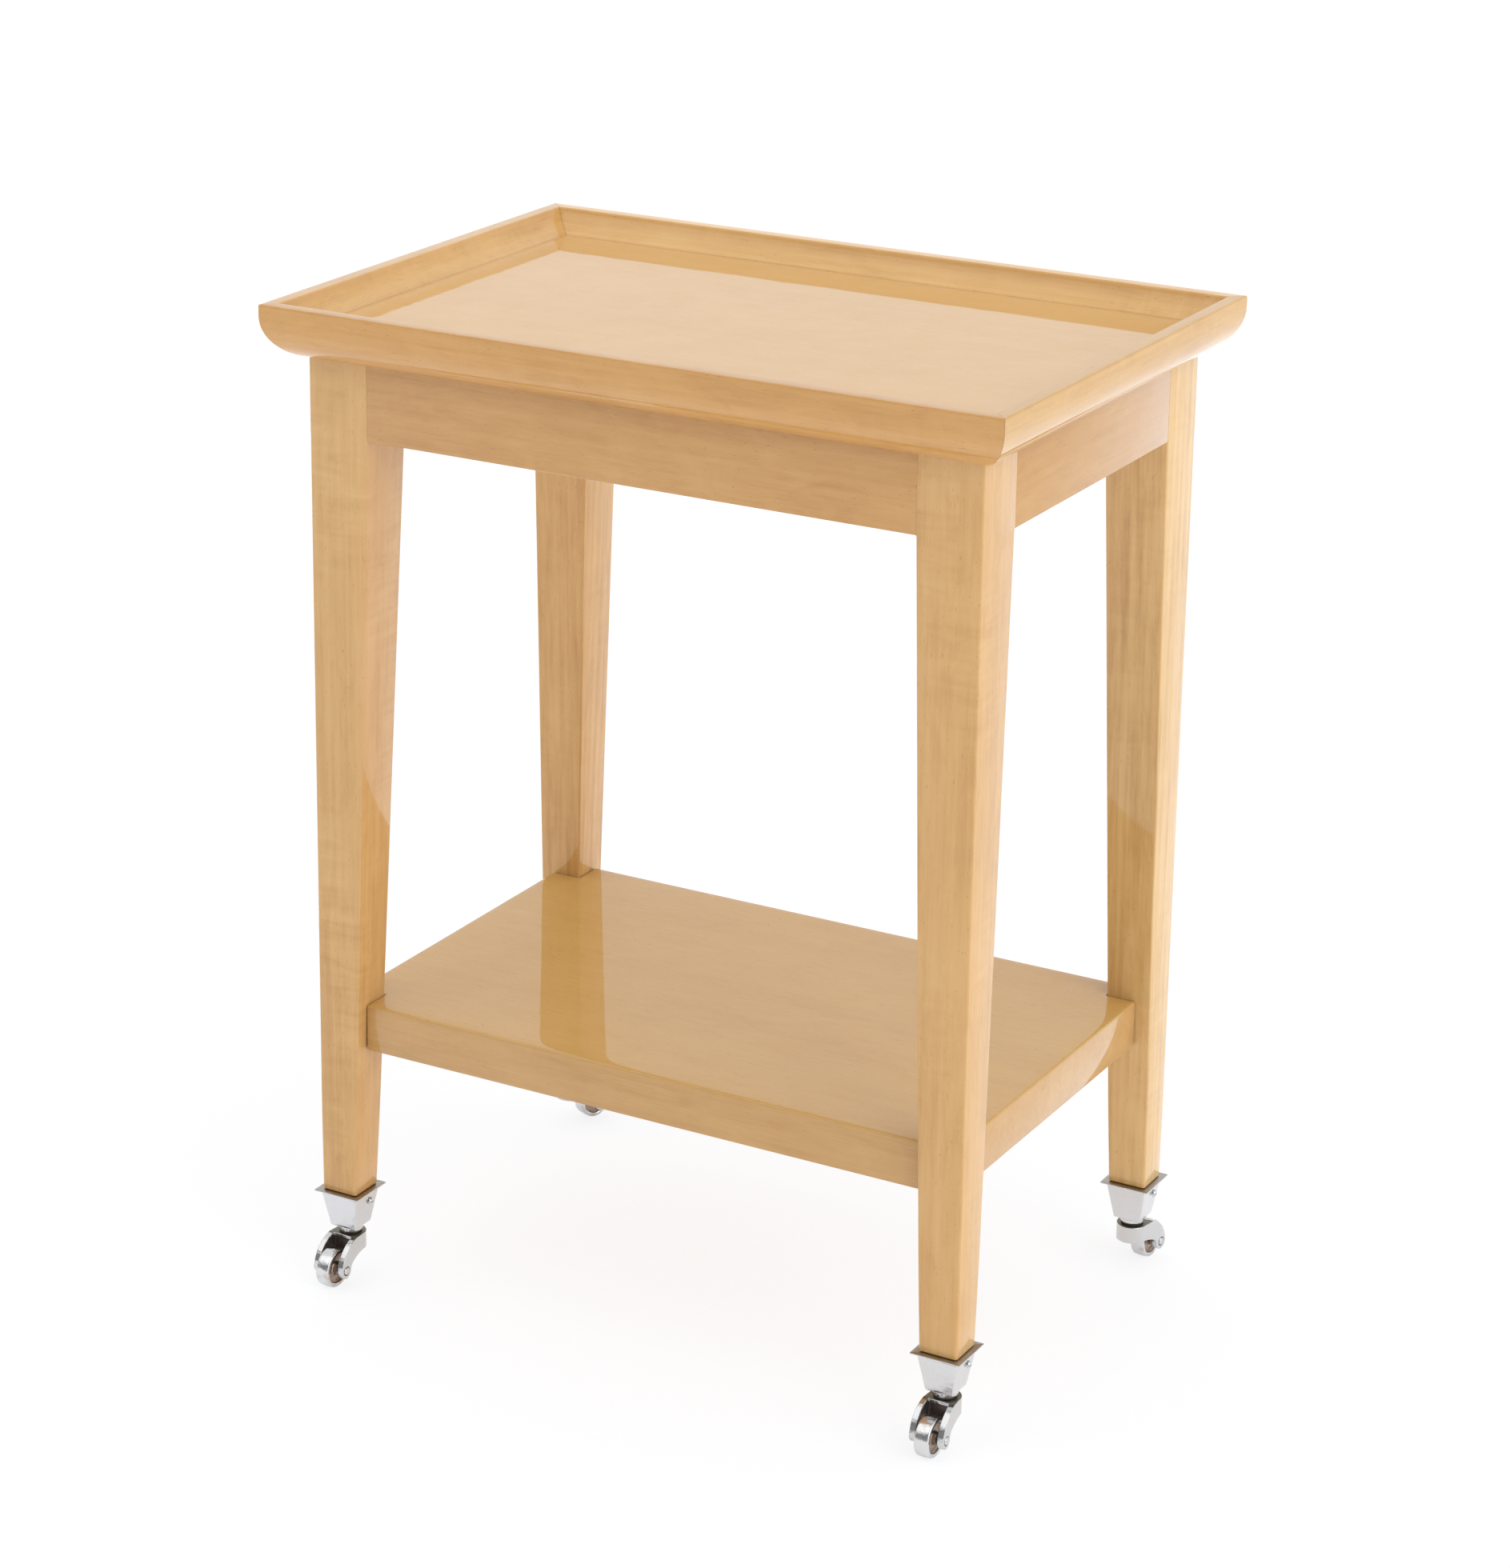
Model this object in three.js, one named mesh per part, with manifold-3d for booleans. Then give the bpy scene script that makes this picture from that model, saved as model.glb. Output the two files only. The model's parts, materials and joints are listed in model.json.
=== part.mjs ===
// A two-tier side table on swivel casters: a tray top with a mitred rim, aprons tenoned into
// four tapered legs, a thick notched shelf, and a cast caster with a square cup under each leg.
// Millimetres, +Z up. The origin is on the floor, under the centre of the table.
import * as THREE from 'three';
import { mergeVertices } from 'three/addons/utils/BufferGeometryUtils.js';
import Module from 'manifold-3d';

const wasm = await Module();
wasm.setup();

// Driving dimensions
const HEIGHT = 753;              // floor to the top of the rim
const FRAME_W = 528;             // across the outer faces of the legs, along X
const FRAME_D = 346;             // across the outer faces of the legs, along Y
const LEG_TOP = 48.5;            // leg section at the apron
const LEG_FOOT = 29.8;           // leg section where it enters the cup
const CUP_TOP_Z = 72;            // top of the cup's flange
const RIM_HEIGHT = 40;
const RIM_OUT = 24.8;            // how far the rim stands out from the legs
const RIM_LAND = 10.6;           // flat on top of the rim
const RIM_ROUND = 33;            // radius of the rim's outer face
const RIM_UPRIGHT = 8.2;         // height of the rim's upright part, above the round
const RIM_BEVEL = 1;
const COVE_SAG = 2.5;            // hollow of the rim's inner face
const QUIRK = 0.8;               // step from the foot of the cove to the tray floor
const TRAY_DEPTH = 17.5;         // top of the rim down to the tray floor
const TRAY_SET_IN = 1;           // the tray floor's edge, inside the outer faces of the legs
const APRON_HEIGHT = 55;
const APRON_THICK = 20;
const SHELF_W = 505;
const SHELF_D = 326;
const SHELF_THICK = 36;
const SHELF_TOP_Z = 224.5;
const FIT_GAP = 0.3;             // clearance where one piece is let into another
const MITRE_GAP = 0.2;
const CLEAR = 5;                 // how far a cutting shape runs past the piece it cuts

// Joints and fixings
const TONGUE_THICK = 6;
const TONGUE_LONG = 8;
const TENON_THICK = 10;
const TENON_HEIGHT = 37;
const TENON_LONG = 25;
const DOWEL_RADIUS = 4;
const DOWEL_LONG = 30;
const DOWEL_BEVEL = 1;
const DOWEL_IN = 22;             // dowel's middle, in from the outer face of the leg
const SHOULDER_GAP = 0.8;        // between the leg's shoulder and the cup's flange
const BLOCK_HEIGHT = 30;
const BLOCK_ARM = 34;            // corner block's long side, out from the leg
const SCREW_IN = 13;             // tray screw's middle, in from the leg
const SCREW_LONG = 37;
const SCREW_HEAD = 4;            // radius
const SCREW_SHANK = 2;           // radius
const SCREW_POINT = 3;
const SLOT_WIDE = 1;
const SLOT_DEEP = 1.2;

// Caster
const WHEEL_RADIUS = 14.5;
const WHEEL_HALF = 5.5;          // half the tread's width
const TRAIL = 23;                // swivel axis to axle
const FORK_TOP_Z = 36;
const FORK_HALF = 13.2;          // half the width over the cheeks
const FORK_PIVOT_RADIUS = 11.6;  // round end under the swivel pin
const FORK_PLATE = 3;
const CUP_HALF_TOP = 15;         // half the cup's width under the flange
const CUP_HALF_LOW = 10.8;
const CUP_LOW_Z = 42;            // foot of the square part
const CUP_FOOT_BEVEL = 0.5;
const CUP_WALL = 1.5;
const COLLAR_RADIUS = 9.2;
const COLLAR_LOW_Z = 38;
const COLLAR_BEVEL = 0.5;
const FLANGE_HALF = 19.3;
const FLANGE_THICK = 1.1;
const CUP_FLOOR_Z = 50;          // bottom of the socket
const PIN_RADIUS = 3.5;
const PIN_HEAD = 5.4;
const PIN_HEAD_LONG = 2.6;
const WASHER_RADIUS = 8.4;
const CHEEK_THICK = 5;
const FORK_WALL = 3.4;           // thickness of the round end
const FORK_LOW_Z = 23;           // foot of the round end
const WEB_BACK = 6;              // wall across the fork between the pin and the wheel
const WEB_FRONT = 8.6;
const CHEEK_END = 6.2;           // radius of the cheek round the axle
const FORK_FAR = 60;             // beyond the fork's length
const AXLE_RADIUS = 1.9;
const AXLE_HEAD = 3;
const AXLE_HEAD_LONG = 1.9;
const HEAD_SINK = 1.3;           // depth of the cheek's recess for the axle head
const HUB_RADIUS = 4.7;
const HUB_HALF = 6.9;
const WEB_HALF = 3;              // half the wheel's thickness between hub and tread
const TREAD_IN = 11.6;           // inner radius of the tread
const CUP_SCREW_Y = 5;           // the cup's screw, off the centre of its +X face
const CUP_SCREW_Z = CUP_TOP_Z - 11;
const CUP_SCREW_PROUD = 0.75;    // the head's underside, off the slanting face
const CUP_SCREW_HEAD = 2.9;      // radius
const CUP_SCREW_SHANK = 1.5;     // radius
const CUP_SCREW_LONG = 11;
const CUP_SCREW_HEAD_LONG = 1.9;

const RIM_LOW_Z = HEIGHT - RIM_HEIGHT;
const TRAY_TOP_Z = HEIGHT - TRAY_DEPTH;
const APRON_LOW_Z = RIM_LOW_Z - APRON_HEIGHT;
const SHELF_LOW_Z = SHELF_TOP_Z - SHELF_THICK;
const HALF_W = FRAME_W / 2;
const HALF_D = FRAME_D / 2;
const PIVOT_X = HALF_W - LEG_FOOT / 2;
const PIVOT_Y = HALF_D - LEG_FOOT / 2;

// The four corners, with the way each caster trails at rest, in degrees from +X
const CORNERS = [
  { name: 'front_left', sx: -1, sy: -1, trail: 267.5 },
  { name: 'front_right', sx: 1, sy: -1, trail: 270 },
  { name: 'back_left', sx: -1, sy: 1, trail: 70 },
  { name: 'back_right', sx: 1, sy: 1, trail: 84 },
];
const SIDES = [
  { name: 'front', alongX: true, sign: -1 },
  { name: 'right', alongX: false, sign: 1 },
  { name: 'back', alongX: true, sign: 1 },
  { name: 'left', alongX: false, sign: -1 },
];

const table = new THREE.Group();

function material(color, roughness, metalness) {
  return new THREE.MeshStandardMaterial({ color, roughness, metalness });
}
const wood = () => material(0xd9ab6c, 0.35, 0);
const innerWood = () => material(0xc79a62, 0.6, 0);
const chrome = () => material(0xd8d8da, 0.15, 1);
const steel = () => material(0x9a9a9a, 0.35, 1);

function place(name, geometry, finish, parent = table) {
  const mesh = new THREE.Mesh(geometry, finish);
  mesh.name = name;
  parent.add(mesh);
  return mesh;
}

// Solids to and from the boolean library
function solid(geometry) {
  const bare = geometry.clone();
  bare.deleteAttribute('normal');
  bare.deleteAttribute('uv');
  const merged = mergeVertices(bare, 1e-4);
  return new wasm.Manifold(new wasm.Mesh({
    numProp: 3,
    vertProperties: new Float32Array(merged.attributes.position.array),
    triVerts: new Uint32Array(merged.index.array),
  }));
}

function geometryOf(body) {
  const mesh = body.getMesh();
  const geometry = new THREE.BufferGeometry();
  geometry.setAttribute('position', new THREE.BufferAttribute(mesh.vertProperties, 3));
  geometry.setIndex(new THREE.BufferAttribute(mesh.triVerts, 1));
  geometry.computeVertexNormals();
  return geometry;
}

function box(x0, x1, y0, y1, z0, z1) {
  const geometry = new THREE.BoxGeometry(x1 - x0, y1 - y0, z1 - z0);
  return geometry.translate((x0 + x1) / 2, (y0 + y1) / 2, (z0 + z1) / 2);
}

// A turned piece about Z: the profile is a list of [radius, z]
function turned(profile, segments) {
  const points = profile.map(([radius, z]) => new THREE.Vector2(radius, z));
  return new THREE.LatheGeometry(points, segments).rotateX(Math.PI / 2);
}

// A profile that is the same above and below z = 0, from its upper half
const bothSides = (half) => [...half.map(([radius, z]) => [radius, -z]), ...half.toReversed()];

// A closed solid from rings of equal length, each ring anticlockwise seen from above, lowest first
function loft(rings) {
  const positions = rings.flat(2);
  const count = rings[0].length;
  const index = [];
  for (let level = 0; level + 1 < rings.length; level += 1) {
    for (let i = 0; i < count; i += 1) {
      const a = level * count + i;
      const b = level * count + (i + 1) % count;
      index.push(a, b, b + count, a, b + count, a + count);
    }
  }
  const flat = rings[0].map(([x, y]) => new THREE.Vector2(x, y));
  const last = (rings.length - 1) * count;
  for (const [a, b, c] of THREE.ShapeUtils.triangulateShape(flat, [])) {
    index.push(a, c, b, last + a, last + b, last + c);
  }
  const geometry = new THREE.BufferGeometry();
  geometry.setAttribute('position', new THREE.Float32BufferAttribute(positions, 3));
  geometry.setIndex(index);
  geometry.computeVertexNormals();
  return geometry;
}

const ringOf = (x0, x1, y0, y1, z) => [[x0, y0, z], [x1, y0, z], [x1, y1, z], [x0, y1, z]];
const squareRing = (half, z) => ringOf(-half, half, -half, half, z);

// The span from near to far, measured out from the middle on the side given by sign
const span = (sign, near, far) => (sign > 0 ? [near, far] : [-far, -near]);

function arc(cx, cz, radius, from, to, steps) {
  const points = [];
  for (let i = 0; i <= steps; i += 1) {
    const angle = from + (to - from) * i / steps;
    points.push([cx + radius * Math.cos(angle), cz + radius * Math.sin(angle)]);
  }
  return points;
}

// The rim's section, as [distance out from the legs' outer face, z], anticlockwise
function rimSection() {
  const outerX = RIM_OUT - RIM_ROUND;
  const outerZ = HEIGHT - RIM_UPRIGHT;
  const lowAngle = -Math.asin((outerZ - RIM_LOW_Z) / RIM_ROUND);
  const landIn = RIM_OUT - RIM_LAND;
  const quirkZ = TRAY_TOP_Z + QUIRK;
  const run = landIn + TRAY_SET_IN;
  const drop = HEIGHT - quirkZ;
  const chord = Math.hypot(run, drop);
  const coveRadius = (chord * chord / 4 + COVE_SAG * COVE_SAG) / (2 * COVE_SAG);
  const back = coveRadius - COVE_SAG;
  const coveX = (landIn - TRAY_SET_IN) / 2 - back * drop / chord;
  const coveZ = (HEIGHT + quirkZ) / 2 + back * run / chord;
  const coveFrom = Math.atan2(HEIGHT - coveZ, landIn - coveX);
  const coveTo = Math.atan2(quirkZ - coveZ, -TRAY_SET_IN - coveX);
  const grooveIn = -TRAY_SET_IN + TONGUE_LONG + FIT_GAP;
  const [grooveLow, grooveHigh] = tongueHeights().map((z, i) => z + (i ? FIT_GAP : -FIT_GAP));
  return [
    ...arc(outerX, outerZ, RIM_ROUND, lowAngle, 0, 12),
    [RIM_OUT, HEIGHT - RIM_BEVEL],
    [RIM_OUT - RIM_BEVEL, HEIGHT],
    ...arc(coveX, coveZ, coveRadius, coveFrom, coveTo, 8),
    [-TRAY_SET_IN, grooveHigh],
    [grooveIn, grooveHigh],
    [grooveIn, grooveLow],
    [-TRAY_SET_IN, grooveLow],
    [-TRAY_SET_IN, RIM_LOW_Z],
  ];
}

function tongueHeights() {
  const middle = (RIM_LOW_Z + TRAY_TOP_Z) / 2;
  return [middle - TONGUE_THICK / 2, middle + TONGUE_THICK / 2];
}

// One side of the rim, mitred at both ends
function rimSide({ alongX, sign }) {
  const section = rimSection();
  const end = (direction) => section.map(([out, z]) => {
    const across = (alongX ? HALF_D : HALF_W) + out;
    const along = direction * ((alongX ? HALF_W : HALF_D) + out - MITRE_GAP / 2);
    return alongX ? [along, sign * across, z] : [sign * across, along, z];
  });
  const positions = [...end(-1), ...end(1)].flat();
  const count = section.length;
  const index = [];
  const flip = alongX === (sign > 0);
  const add = (a, b, c) => index.push(...(flip ? [a, c, b] : [a, b, c]));
  for (let i = 0; i < count; i += 1) {
    const j = (i + 1) % count;
    add(i, i + count, j + count);
    add(i, j + count, j);
  }
  const flat = section.map(([out, z]) => new THREE.Vector2(out, z));
  for (const [a, b, c] of THREE.ShapeUtils.triangulateShape(flat, [])) {
    add(a, b, c);
    add(a + count, c + count, b + count);
  }
  const geometry = new THREE.BufferGeometry();
  geometry.setAttribute('position', new THREE.Float32BufferAttribute(positions, 3));
  geometry.setIndex(index);
  geometry.computeVertexNormals();
  return geometry;
}

function trayPanel() {
  const x = HALF_W - TRAY_SET_IN;
  const y = HALF_D - TRAY_SET_IN;
  const [tongueLow, tongueHigh] = tongueHeights();
  const ring = (out, z) => ringOf(-x - out, x + out, -y - out, y + out, z);
  let panel = solid(loft([
    ring(0, RIM_LOW_Z),
    ring(0, tongueLow),
    ring(TONGUE_LONG, tongueLow),
    ring(TONGUE_LONG, tongueHigh),
    ring(0, tongueHigh),
    ring(0, TRAY_TOP_Z),
  ]));
  for (const corner of CORNERS) {
    panel = panel.subtract(trayScrewBore(corner));
  }
  return geometryOf(panel);
}

function legSectionAt(z) {
  const down = Math.max(0, (APRON_LOW_Z - z) / (APRON_LOW_Z - CUP_TOP_Z));
  return LEG_TOP - (LEG_TOP - LEG_FOOT) * down;
}

// The tenon's thickness, across the apron
function tenonAcross(half, sign, spare = 0) {
  const outer = (APRON_THICK - TENON_THICK) / 2 - spare;
  return span(sign, half - outer - TENON_THICK - 2 * spare, half - outer);
}

// The mortise's depth, along the apron, open to the leg's inner face
function mortiseAlong(half, sign) {
  const face = half - LEG_TOP;
  return span(sign, face - CLEAR, face + TENON_LONG + FIT_GAP);
}

const tenonZ = (spare = 0) => {
  const middle = (APRON_LOW_Z + RIM_LOW_Z) / 2;
  return [middle - TENON_HEIGHT / 2 - spare, middle + TENON_HEIGHT / 2 + spare];
};

function apron({ alongX, sign }) {
  const reach = (alongX ? HALF_W : HALF_D) - LEG_TOP;
  const outer = alongX ? HALF_D : HALF_W;
  const lay = (long, [v0, v1], z0, z1) => {
    const shape = alongX ? box(-long, long, v0, v1, z0, z1) : box(v0, v1, -long, long, z0, z1);
    return solid(shape);
  };
  const board = lay(reach, span(sign, outer - APRON_THICK, outer), APRON_LOW_Z, RIM_LOW_Z);
  const tenons = lay(reach + TENON_LONG, tenonAcross(outer, sign), ...tenonZ());
  return geometryOf(board.add(tenons));
}

function dowelPlace(corner) {
  const middle = SHELF_TOP_Z - SHELF_THICK / 2;
  const face = HALF_W - legSectionAt(middle);
  return { x: corner.sx * face, y: corner.sy * (HALF_D - DOWEL_IN), z: middle };
}

function dowel(corner, spare) {
  const { x, y, z } = dowelPlace(corner);
  const half = DOWEL_LONG / 2 + spare;
  const radius = DOWEL_RADIUS + spare;
  const endRadius = radius - DOWEL_BEVEL;
  const side = half - DOWEL_BEVEL;
  const profile = bothSides([[0, half], [endRadius, half], [radius, side]]);
  return turned(profile, 16).rotateY(Math.PI / 2).translate(x, y, z);
}

function leg(corner) {
  const { sx, sy } = corner;
  const ring = (section, z) => {
    const [x0, x1] = span(sx, HALF_W - section, HALF_W);
    const [y0, y1] = span(sy, HALF_D - section, HALF_D);
    return ringOf(x0, x1, y0, y1, z);
  };
  const tip = (half, z) => {
    const x = sx * PIVOT_X;
    const y = sy * PIVOT_Y;
    return ringOf(x - half, x + half, y - half, y + half, z);
  };
  const tipZ = CUP_FLOOR_Z + 1;
  const post = solid(loft([
    tip(socketHalf(tipZ) - FIT_GAP, tipZ),
    tip(socketHalf(CUP_TOP_Z) - FIT_GAP, CUP_TOP_Z),
    tip(LEG_FOOT / 2, CUP_TOP_Z + SHOULDER_GAP),
    ring(LEG_TOP, APRON_LOW_Z),
    ring(LEG_TOP, RIM_LOW_Z),
  ]));
  const heights = tenonZ(FIT_GAP);
  const alongX = box(...mortiseAlong(HALF_W, sx), ...tenonAcross(HALF_D, sy, FIT_GAP), ...heights);
  const alongY = box(...tenonAcross(HALF_W, sx, FIT_GAP), ...mortiseAlong(HALF_D, sy), ...heights);
  return geometryOf(post
    .subtract(solid(alongX))
    .subtract(solid(alongY))
    .subtract(solid(dowel(corner, FIT_GAP)))
    .subtract(solid(cupScrewBore(corner))));
}

function shelf() {
  const x = SHELF_W / 2;
  const y = SHELF_D / 2;
  let board = solid(box(-x, x, -y, y, SHELF_LOW_Z, SHELF_TOP_Z));
  for (const corner of CORNERS) {
    const { sx, sy } = corner;
    const section = legSectionAt(SHELF_TOP_Z) + FIT_GAP;
    const inX = span(sx, HALF_W - section, x + CLEAR);
    const inY = span(sy, HALF_D - section, y + CLEAR);
    board = board
      .subtract(solid(box(...inX, ...inY, SHELF_LOW_Z - CLEAR, SHELF_TOP_Z + CLEAR)))
      .subtract(solid(dowel(corner, FIT_GAP)));
  }
  return geometryOf(board);
}

// A block across the inside of an apron corner, clear of the leg
function cornerBlock(corner) {
  const { sx, sy } = corner;
  const inX = HALF_W - APRON_THICK - FIT_GAP;
  const inY = HALF_D - APRON_THICK - FIT_GAP;
  const legX = HALF_W - LEG_TOP - FIT_GAP;
  const legY = HALF_D - LEG_TOP - FIT_GAP;
  const points = [[legX, inY], [legX - BLOCK_ARM, inY], [inX, legY - BLOCK_ARM], [inX, legY], [legX, legY]];
  const ring = (z) => {
    const corners = points.map(([px, py]) => [sx * px, sy * py, z]);
    return sx * sy > 0 ? corners : corners.reverse();
  };
  const block = solid(loft([ring(RIM_LOW_Z - BLOCK_HEIGHT), ring(RIM_LOW_Z - FIT_GAP)]));
  return geometryOf(block.subtract(trayScrewBore(corner)));
}

// A countersunk screw driven up through the corner block into the tray panel, with its head
// sunk a little into the block
function trayScrewPlace({ sx, sy }) {
  const high = RIM_LOW_Z + 3 * SCREW_POINT;
  return {
    x: sx * (HALF_W - LEG_TOP - SCREW_IN),
    y: sy * (HALF_D - LEG_TOP - SCREW_IN),
    low: high - SCREW_LONG,
    high,
  };
}

function trayScrewBody(corner, spare, below) {
  const { x, y, low, high } = trayScrewPlace(corner);
  const head = SCREW_HEAD + spare;
  const shank = SCREW_SHANK + spare;
  const rimZ = low + 0.6;
  const neckZ = rimZ + 2.8;
  const profile = [[0, low - below], [head, low - below], [head, rimZ], [shank, neckZ],
    [shank, high - SCREW_POINT], [0, high + spare]];
  return solid(turned(profile, 14).translate(x, y, 0));
}

const trayScrewBore = (corner) => trayScrewBody(corner, FIT_GAP, CLEAR);

function trayScrew(corner) {
  const { x, y, low } = trayScrewPlace(corner);
  const half = SLOT_WIDE / 2;
  const slot = box(x - CLEAR, x + CLEAR, y - half, y + half, low - CLEAR, low + SLOT_DEEP);
  return geometryOf(trayScrewBody(corner, 0, 0).subtract(solid(slot)));
}

// Half the width of the cup's socket at a height
function socketHalf(z) {
  const low = CUP_HALF_LOW - CUP_WALL;
  const high = CUP_HALF_TOP - CUP_WALL;
  return low + (high - low) * (z - CUP_FLOOR_Z) / (CUP_TOP_Z - CUP_FLOOR_Z);
}

// The head's underside, out from the cup's axis
function cupScrewSeat() {
  const slantHigh = CUP_TOP_Z - 5;
  const up = (CUP_SCREW_Z - CUP_LOW_Z) / (slantHigh - CUP_LOW_Z);
  return CUP_HALF_LOW + (CUP_HALF_TOP - CUP_HALF_LOW) * up + CUP_SCREW_PROUD;
}

function cupScrewShape(spare, head) {
  const shank = CUP_SCREW_SHANK + spare;
  const tip = cupScrewSeat() - CUP_SCREW_LONG - spare;
  const profile = [[0, tip], [shank, tip + 2], ...head];
  return turned(profile, 14).rotateY(Math.PI / 2).translate(0, CUP_SCREW_Y, CUP_SCREW_Z);
}

function cupScrewHole() {
  const out = cupScrewSeat() + CLEAR;
  return cupScrewShape(FIT_GAP, [[CUP_SCREW_SHANK + FIT_GAP, out], [0, out]]);
}

function cupScrewBore(corner) {
  return cupScrewHole().translate(corner.sx * PIVOT_X, corner.sy * PIVOT_Y, 0);
}

function cupScrew() {
  const seat = cupScrewSeat();
  const top = seat + CUP_SCREW_HEAD_LONG;
  const head = [[CUP_SCREW_SHANK, seat], [CUP_SCREW_HEAD, seat], [CUP_SCREW_HEAD, seat + 0.5],
    [CUP_SCREW_HEAD - 0.6, seat + 1.3], [CUP_SCREW_HEAD - 1.7, top - 0.1], [0, top]];
  const slotIn = top - 0.8;
  const slotHalf = 0.35;
  const slot = box(slotIn, top + CLEAR, CUP_SCREW_Y - CLEAR, CUP_SCREW_Y + CLEAR,
    CUP_SCREW_Z - slotHalf, CUP_SCREW_Z + slotHalf);
  return geometryOf(solid(cupScrewShape(0, head)).subtract(solid(slot)));
}

function casterCup() {
  const flangeLow = CUP_TOP_Z - FLANGE_THICK;
  const outer = solid(loft([
    squareRing(CUP_HALF_LOW - CUP_FOOT_BEVEL, CUP_LOW_Z),
    squareRing(CUP_HALF_LOW, CUP_LOW_Z + CUP_FOOT_BEVEL),
    squareRing(CUP_HALF_TOP, flangeLow - 3.9),
    squareRing(CUP_HALF_TOP + 0.5, flangeLow - 2.3),
    squareRing(CUP_HALF_TOP + 1.7, flangeLow - 0.9),
    squareRing(FLANGE_HALF, flangeLow),
    squareRing(FLANGE_HALF, CUP_TOP_Z),
  ]));
  const collar = solid(turned([
    [0, COLLAR_LOW_Z],
    [COLLAR_RADIUS - COLLAR_BEVEL, COLLAR_LOW_Z],
    [COLLAR_RADIUS, COLLAR_LOW_Z + COLLAR_BEVEL],
    [COLLAR_RADIUS, CUP_LOW_Z + 2],
    [0, CUP_LOW_Z + 2],
  ], 32));
  const socket = solid(loft([
    squareRing(socketHalf(CUP_FLOOR_Z), CUP_FLOOR_Z),
    squareRing(socketHalf(CUP_TOP_Z + CLEAR), CUP_TOP_Z + CLEAR),
  ]));
  return geometryOf(outer.add(collar)
    .subtract(socket)
    .subtract(pinBore(COLLAR_LOW_Z - CLEAR, CUP_FLOOR_Z + 1))
    .subtract(solid(cupScrewHole())));
}

function pinBore(low, high) {
  const radius = PIN_RADIUS + FIT_GAP;
  return solid(turned([[0, low], [radius, low], [radius, high], [0, high]], 16));
}

function swivelPin() {
  const plateLow = FORK_TOP_Z - FORK_PLATE - FIT_GAP;
  const headLow = plateLow - PIN_HEAD_LONG;
  const top = CUP_FLOOR_Z - 0.5;
  return turned([
    [0, headLow],
    [PIN_HEAD - 2.8, headLow + 0.2],
    [PIN_HEAD - 0.4, headLow + 1.4],
    [PIN_HEAD, plateLow],
    [PIN_RADIUS, plateLow],
    [PIN_RADIUS, top],
    [0, top],
  ], 16);
}

function swivelWasher() {
  const low = FORK_TOP_Z + FIT_GAP;
  const high = COLLAR_LOW_Z - FIT_GAP;
  const inner = PIN_RADIUS + FIT_GAP;
  const outer = WASHER_RADIUS;
  return turned([[inner, low], [outer, low], [outer, high], [inner, high], [inner, low]], 20);
}

// The fork in its own frame: the swivel axis is Z and the wheel trails along +X
function plan(pivotRadius, frontHalf, length) {
  const shape = new THREE.Shape();
  shape.moveTo(0, -pivotRadius);
  shape.lineTo(TRAIL, -frontHalf);
  shape.lineTo(length, -frontHalf);
  shape.lineTo(length, frontHalf);
  shape.lineTo(TRAIL, frontHalf);
  shape.lineTo(0, pivotRadius);
  shape.absarc(0, 0, pivotRadius, Math.PI / 2, Math.PI * 3 / 2, false);
  return shape;
}

function extruded(shape, low, high, curveSegments) {
  const options = { depth: high - low, bevelEnabled: false, curveSegments };
  return new THREE.ExtrudeGeometry(shape, options).translate(0, 0, low);
}

// The fork seen from its side, as (along, z)
function forkSide() {
  const behind = -FORK_PIVOT_RADIUS - CLEAR;
  const shape = new THREE.Shape();
  shape.moveTo(behind, FORK_TOP_Z);
  shape.lineTo(behind, FORK_LOW_Z);
  shape.lineTo(1, FORK_LOW_Z);
  shape.quadraticCurveTo(16.2, 20, TRAIL - CHEEK_END, WHEEL_RADIUS);
  shape.absarc(TRAIL, WHEEL_RADIUS, CHEEK_END, Math.PI, Math.PI * 2.1, false);
  shape.bezierCurveTo(TRAIL + 4.5, 24, TRAIL - 2.5, 33.5, TRAIL - 13, FORK_TOP_Z);
  return shape;
}

function fork() {
  const innerHalf = FORK_HALF - CHEEK_THICK;
  const mouthStart = 10;
  const plateLow = FORK_TOP_Z - FORK_PLATE;
  const seat = FORK_HALF - HEAD_SINK;
  const head = AXLE_HEAD + FIT_GAP;
  const shank = AXLE_RADIUS + FIT_GAP;
  const end = FORK_FAR / 2;
  const body = solid(extruded(plan(FORK_PIVOT_RADIUS, FORK_HALF, FORK_FAR), 0, FORK_TOP_Z, 14));
  const side = solid(extruded(forkSide(), -end, end, 10).rotateX(Math.PI / 2));
  const inside = plan(FORK_PIVOT_RADIUS - FORK_WALL, innerHalf, FORK_FAR);
  const web = solid(box(WEB_BACK, WEB_FRONT, -FORK_HALF, FORK_HALF, -CLEAR, FORK_TOP_Z));
  const throat = solid(extruded(inside, -1, plateLow, 10)).subtract(web);
  const mouth = solid(box(mouthStart, FORK_FAR, -innerHalf, innerHalf, -1, FORK_TOP_Z + CLEAR));
  const bore = turned([[0, -end], [head, -end], [head, -seat], [shank, -seat],
    [shank, seat], [head, seat], [head, end], [0, end]], 16);
  const axleBore = solid(bore.rotateX(Math.PI / 2).translate(TRAIL, 0, WHEEL_RADIUS));
  return geometryOf(body.intersect(side)
    .subtract(throat)
    .subtract(mouth)
    .subtract(pinBore(0, FORK_FAR))
    .subtract(axleBore));
}

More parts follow.
